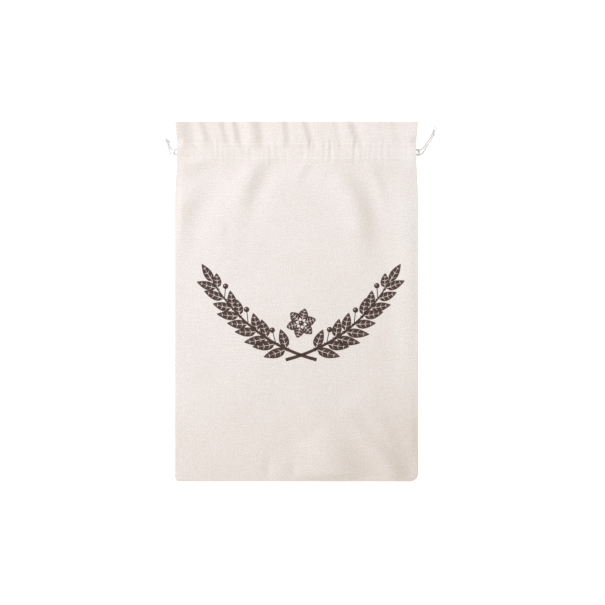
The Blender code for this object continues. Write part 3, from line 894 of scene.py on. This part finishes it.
shares = np.linspace(-1, 1, FRONT_COLUMNS + 1)
rows = outer_rows(FRONT_BODY)
heights = cad_heights(rows, shares) - CLOTH / 2
heights = blurred(heights, rows, SMOOTH, 0)
heights = blurred(heights, shares * BAG_HALF, SMOOTH, 1)
cloth_sides = np.array([[cloth_half(1 if share > 0 else -1, y) for share in shares] for y in rows])
cloth_x = shares[None, :] * cloth_sides
cloth_y = np.broadcast_to(rows[:, None], cloth_x.shape)
calm = ease((cloth_sides - np.abs(cloth_x)) / SIDE_CALM)
calm += (1 - calm) * ease((cloth_y - UPPER_ROW) / FREE_SIDE)
body_creases = front_creases(cloth_x / MM, cloth_y / MM) * ease((cloth_y - FOOT) / FOOT_CALM)
body_creases *= 1 - ease((cloth_y - LOWER_ROW + CHANNEL_CALM) / CHANNEL_CALM_RAMP)
heights += (body_creases + channel_creases(cloth_x / MM, cloth_y / MM)) * MM * calm
heights = np.maximum(heights + side_lift(cloth_y, cloth_x, cloth_sides), LOWEST_FRONT)
front_cloth = finish_panel("front_cloth", make_panel(heights, rows, -1), linen, "front_panel")

back_rows = outer_rows(BACK_BODY)
back_heights = np.full((len(back_rows), BACK_COLUMNS + 1), CLOTH / 2 + STITCH_RADIUS)
back_cloth = finish_panel("back_cloth", make_panel(back_heights, back_rows, 1), linen, "back_panel")


# ---------------------------------------------------------------------------------- stitching
# Two rows of lockstitch in cream sewing thread hold each panel's hem and close its channel. They show on
# the outside and on the hem, and each stitch dives through its needle hole.
STITCH, STITCH_GAP = 0.0028, 0.0003
STITCH_SIDES, STITCH_RINGS = 6, 5
STITCH_SINKS = (0.00028, -0.00006, -0.00012, -0.00006, 0.00028)  # below the cloth's face, along a stitch
STITCH_WANDER = 0.00007
ROW_END = 0.0022  # from the last stitch of a row to the side
THREAD_LIGHT = (0.99, 0.98, 0.96, 1.0)
# the thread's colour in the grooves of its twist: painted shade
THREAD_IN_GROOVE_SHADE = (0.93, 0.91, 0.88, 1.0)
THREAD_TWIST = {"Scale": 2600.0, "Distortion": 2.0, "Detail": 1.0}
stitch_random = np.random.default_rng(7)


def add_thread(target, path, radius):
    """A short round thread along the path, added to the bmesh. It is closed with all the others."""
    frames = []
    for tangent in directions(path):
        first = tangent.orthogonal().normalized()
        frames.append((first, tangent.cross(first)))
    add_tube(target, path, frames, STITCH_SIDES, lambda ring, angle: radius)


def stitch_row(threads, y, face_height, outwards):
    """One row of stitches on a face of the cloth. face_height(x, y) is the face's height, and outwards is 1
    where it looks up and -1 where it looks down."""
    half = min(cloth_half(-1, y), cloth_half(1, y)) - ROW_END
    for start in np.arange(-half, half - STITCH, STITCH):
        x_places = np.linspace(start + STITCH_GAP / 2, start + STITCH - STITCH_GAP / 2, STITCH_RINGS)
        slant = np.linspace(-1, 1, STITCH_RINGS) * STITCH_WANDER
        y_places = y + stitch_random.normal(0, STITCH_WANDER) + slant
        path = []
        for x, y_place, sink in zip(x_places, y_places, STITCH_SINKS):
            path.append(Vector((x, y_place, face_height(x, y_place) - outwards * sink)))
        add_thread(threads, path, STITCH_RADIUS)


def stitch_panel(name, panel_rows, panel_heights, inwards):
    """Both rows of a panel's stitches, on its outer face and on its hem."""
    threads = bmesh.new()
    for y in (UPPER_ROW, LOWER_ROW):

        def outer_face(x, y_place):
            return cloth_height(panel_rows, panel_heights, x, y_place) - inwards * CLOTH / 2

        def hem_face(x, y_place):
            gap = float(layer_gap(y_place, x, cloth_half(1, y_place)))
            return cloth_height(panel_rows, panel_heights, x, y_place) + inwards * (gap + CLOTH / 2)

        stitch_row(threads, y, outer_face, -inwards)
        stitch_row(threads, y, hem_face, inwards)
    for vertex in threads.verts:
        vertex.co.z = max(vertex.co.z, 0.0)
    return make_piece(name, close_tubes(threads, STITCH_RADIUS / 50), sewing_thread, "thread")


# The thread is darker where its twist dips: painted shade, from the same wave as its relief.
sewing_thread, thread_shader = new_material("sewing thread", roughness=0.6, sheen=0.2)
thread_tree = sewing_thread.node_tree
twist_values = {"Vector": add_node(thread_tree, "ShaderNodeTexCoord").outputs["Object"], **THREAD_TWIST}
thread_twist = add_node(thread_tree, "ShaderNodeTexWave", twist_values, bands_direction="DIAGONAL")
twist_relief_and_shade = thread_twist.outputs["Fac"]
thread_colour = colour_node(thread_tree, twist_relief_and_shade, THREAD_IN_GROOVE_SHADE, THREAD_LIGHT)
finish_surface(thread_tree, thread_shader, thread_colour, twist_relief_and_shade, strength=0.4, depth=0.00005)

front_stitching = stitch_panel("front_stitching", rows, heights, -1)
back_stitching = stitch_panel("back_stitching", back_rows, back_heights, 1)


# ---------------------------------------------------------------------------------- seams
# The panels are sewn together at the sides, up to the channel, and along the foot, wrong side out. Turned the
# right way, the seam's thread only shows as short rungs between the two rolled edges.
RUNG_PITCH = 0.0032
RUNG_RADIUS = 0.00012
SEAM_TOP = 0.146
SEAM_CORNER = 0.012  # the rungs stop short of the foot's corners
RUNG_DEPTH, RUNG_HOLD = 0.0007, 0.0004  # a rung's ends behind the edges, and into each roll
RUNG_AT_ROLL, RUNG_AT_MIDDLE = 0.0002, 0.00005  # behind the edges where it leaves a roll, and midway


def add_rung(threads, edge, inwards, low, high):
    """One rung between the two rolled edges. edge is the outermost place and inwards the way into the bag."""
    depths = (RUNG_DEPTH, RUNG_AT_ROLL, RUNG_AT_MIDDLE, RUNG_AT_ROLL, RUNG_DEPTH)
    levels = (low - RUNG_HOLD, low, (low + high) / 2, high, high + RUNG_HOLD)
    path = [edge + inwards * depth + Vector((0, 0, z)) for depth, z in zip(depths, levels)]
    add_thread(threads, path, RUNG_RADIUS)


seam_threads = bmesh.new()
back_top = float(back_heights[0, 0]) + 2 * ROLL
for y in np.arange(FOOT + SEAM_CORNER, SEAM_TOP, RUNG_PITCH):
    for side in (-1, 1):
        half = half_width(side, y)
        front_low = cloth_height(rows, heights, side * cloth_half(side, y), y) - 2 * ROLL
        add_rung(seam_threads, Vector((side * half, y, 0)), Vector((-side, 0, 0)), back_top, front_low)
for x in np.arange(-BAG_HALF + SEAM_CORNER, BAG_HALF - SEAM_CORNER, RUNG_PITCH):
    front_low = cloth_height(rows, heights, x, rows[0]) - 2 * ROLL
    add_rung(seam_threads, Vector((x, FOOT, 0)), Vector((0, 1, 0)), back_top, front_low)
seam = make_piece("seam_rungs", close_tubes(seam_threads, RUNG_RADIUS / 50), sewing_thread, "thread")


# ---------------------------------------------------------------------------------- print
# A plain block-printed motif of two crossed leafy sprigs with berries about a blossom, in dark brown ink that
# has sunk into the weave. It is cut like a linocut: bare midribs and veins are left in solid leaves.
PRINT_MIDDLE = (0.0057, -0.0145)
INK_LIFT = 0.00004  # over the cloth's face
SPRIG = ((-19, -57), (62, -36), (108, 38))  # the right sprig's stem in millimetres: start, bend and end
STEM_WIDTH = (4.2, 1.6)
STEM_POINTS = 100
LEAVES = 9  # along each side of a stem
FIRST_LEAF, LAST_LEAF = 0.24, 0.95  # shares of the stem
LEAF_LENGTH, LEAF_WIDTH = (33.0, 25.0), (12.5, 10.5)  # at the stem's start and at its end
LEAF_ANGLE, LEAF_STRAY = (50.0, 38.0), 0.05  # degrees from the stem, and radians of chance
LEAF_GROWTH, INNER_GROWTH = (0.92, 1.06), 0.82  # by chance, and on a stem's inner side
LEAF_CURL = (0.04, 0.12)  # share of its length by which a leaf's tip bends aside
LEAF_CELLS, CELLS_END = 4, 0.98  # the solid cells of half a leaf, and where they end
VEIN, MIDRIB, SLANT = 0.8, 0.8, 0.18  # widths of the bare lines, and how far the veins slant to the tip
LEAF_BELLY, LEAF_ROUNDING = 0.8, 0.9  # powers that set a leaf's widest place and its fullness
LEAF_STALK, LEAF_STALK_WIDTH = (-0.12, 0.06), (1.1, 0.8)  # its ends as shares of the leaf's length
BERRY, HEART = 3.4, 3.2  # radius of a berry and of the blossom's heart
BERRY_STALK, BERRY_OUT = 1.1, (0.0, 0.3, 0.75)  # its stalk's width, and places as shares of a leaf's length
GLEAM, GLEAM_PLACE = 0.2, (-0.3, 0.3)  # in radii of the berry
END_LEAF = 1.1  # how many times as long the leaf at a stem's end is as the one beside it
STROKE_STEP = 2.0
BLOSSOM_MIDDLE, PETALS, PETAL_START, PETAL_END, PETAL_WIDTH = (0.0, -12.0), 6, 4.0, 19.0, 12.0
INK = (0.048, 0.026, 0.018, 1.0)
INK_WORN = (0.098, 0.060, 0.044, 1.0)
INK_CONTRAST = {"threads": 0.3, "slubs": 0.6, "fuzz": 1.2, "hollow_shade_and_thin_ink": -0.4, "clouds": 0.5}
print_random = np.random.default_rng(21)
ink = woven("brown ink", INK_WORN, INK, roughness=0.85, sheen=0.1, contrast=INK_CONTRAST, relief=0.35)
motif = bmesh.new()


def unit(angle):
    """The direction at an angle from +X."""
    return np.array([math.cos(angle), math.sin(angle)])


def printed_patch(steps, across_steps, place):
    """A patch of ink: place(u, v) gives each corner in millimetres, with u along from 0 to 1 and v across."""
    grid = bmesh.ops.create_grid(motif, x_segments=steps, y_segments=across_steps, size=0.5)
    for vertex in grid["verts"]:
        vertex.co = Vector((*place(vertex.co.x + 0.5, vertex.co.y + 0.5), 0.0))


def stroke(points, widths):
    """A stroke along a smooth line, as wide as the given widths at its start and its end."""
    line = smooth_path([Vector((*point, 0.0)) for point in points], STROKE_STEP)
    tangents = directions(line)

    def place(u, v):
        k = round(u * (len(line) - 1))
        out = (v - 0.5) * (widths[0] + (widths[1] - widths[0]) * u)
        return (line[k].x - tangents[k].y * out, line[k].y + tangents[k].x * out)

    printed_patch(len(line) - 1, 1, place)


def leaf(base, heading, length, width, curl):
    """A leaf from its base: two solid halves about a bare midrib, with bare veins that thin to its rim."""
    toward, aside = unit(heading), unit(heading + math.pi / 2)
    vein = VEIN / length

    def spot(t, out):
        return base + toward * length * t + aside * (curl * length * t * t + out)

    for side in (-1, 1):
        for cell in range(LEAF_CELLS):
            start, end = (CELLS_END * (cell + k) / LEAF_CELLS for k in (0, 1))

            def place(u, v):
                gap = vein * (1 - v)
                t = start + gap / 2 + (end - start - gap) * u
                t += SLANT * v * (1 - t)
                inner = MIDRIB / 2 * (1 - t)
                outer = width / 2 * math.sin(math.pi * t**LEAF_BELLY) ** LEAF_ROUNDING
                return spot(t, side * (inner + max(outer - inner, 0.02) * v))

            printed_patch(4, 4, place)
    stroke([spot(t, 0.0) for t in LEAF_STALK], LEAF_STALK_WIDTH)


def berry(middle, radius):
    """A round berry with a bare gleam off its middle."""

    def place(u, v):
        edge = unit(2 * math.pi * u)
        gleam = np.array(GLEAM_PLACE) + edge * GLEAM
        return middle + radius * (gleam + (edge - gleam) * v)

    printed_patch(20, 2, place)


def sprig(mirror):
    """One sprig with its leaves and berries. mirror is 1 on the right and -1 on the left."""
    stem = bent_line(np.array(SPRIG, float) * (mirror, 1), np.linspace(0, 1, STEM_POINTS))
    stroke([tuple(point) for point in stem[::9]], STEM_WIDTH)
    headings = np.arctan2(np.gradient(stem[:, 1]), np.gradient(stem[:, 0]))
    for count in range(LEAVES):
        share = FIRST_LEAF + (LAST_LEAF - FIRST_LEAF) * count / (LEAVES - 1)
        k = round(share * (len(stem) - 1))
        spans = (LEAF_LENGTH, LEAF_WIDTH, LEAF_ANGLE)
        length, width, angle = (at_end + (at_start - at_end) * (1 - share) for at_start, at_end in spans)
        for side in (-1, 1):
            turn = headings[k] + side * (math.radians(angle) + print_random.normal(0, LEAF_STRAY))
            grown = length * print_random.uniform(*LEAF_GROWTH) * (1.0 if side == -mirror else INNER_GROWTH)
            if side == mirror and count % 3 == 1:
                places = [stem[k] + unit(turn) * grown * out for out in BERRY_OUT]
                stroke([tuple(place) for place in places], (BERRY_STALK, BERRY_STALK))
                berry(places[-1], BERRY)
                continue
            leaf(stem[k], turn, grown, width, -side * print_random.uniform(*LEAF_CURL))
    leaf(stem[-1], headings[-1], LEAF_LENGTH[1] * END_LEAF, LEAF_WIDTH[1], 0.0)


sprig(1)
sprig(-1)
for petal in range(PETALS):
    petal_turn = 2 * math.pi * (petal + 0.25) / PETALS
    petal_base = np.array(BLOSSOM_MIDDLE) + PETAL_START * unit(petal_turn)
    leaf(petal_base, petal_turn, PETAL_END - PETAL_START, PETAL_WIDTH, 0.0)
berry(np.array(BLOSSOM_MIDDLE), HEART)
motif_flat = motif.loops.layers.uv.new("flat")
for vertex in motif.verts:
    x, y = vertex.co.x * MM + PRINT_MIDDLE[0], vertex.co.y * MM + PRINT_MIDDLE[1]
    vertex.co = Vector((x, y, cloth_height(rows, heights, x, y) + CLOTH / 2 + INK_LIFT))
for face in motif.faces:
    if face.normal.z < 0:
        face.normal_flip()
    for loop in face.loops:
        loop[motif_flat].uv = (loop.vert.co.x, loop.vert.co.y - FOOT)
printed_motif = make_piece("printed_sprigs", motif, ink, "ink")
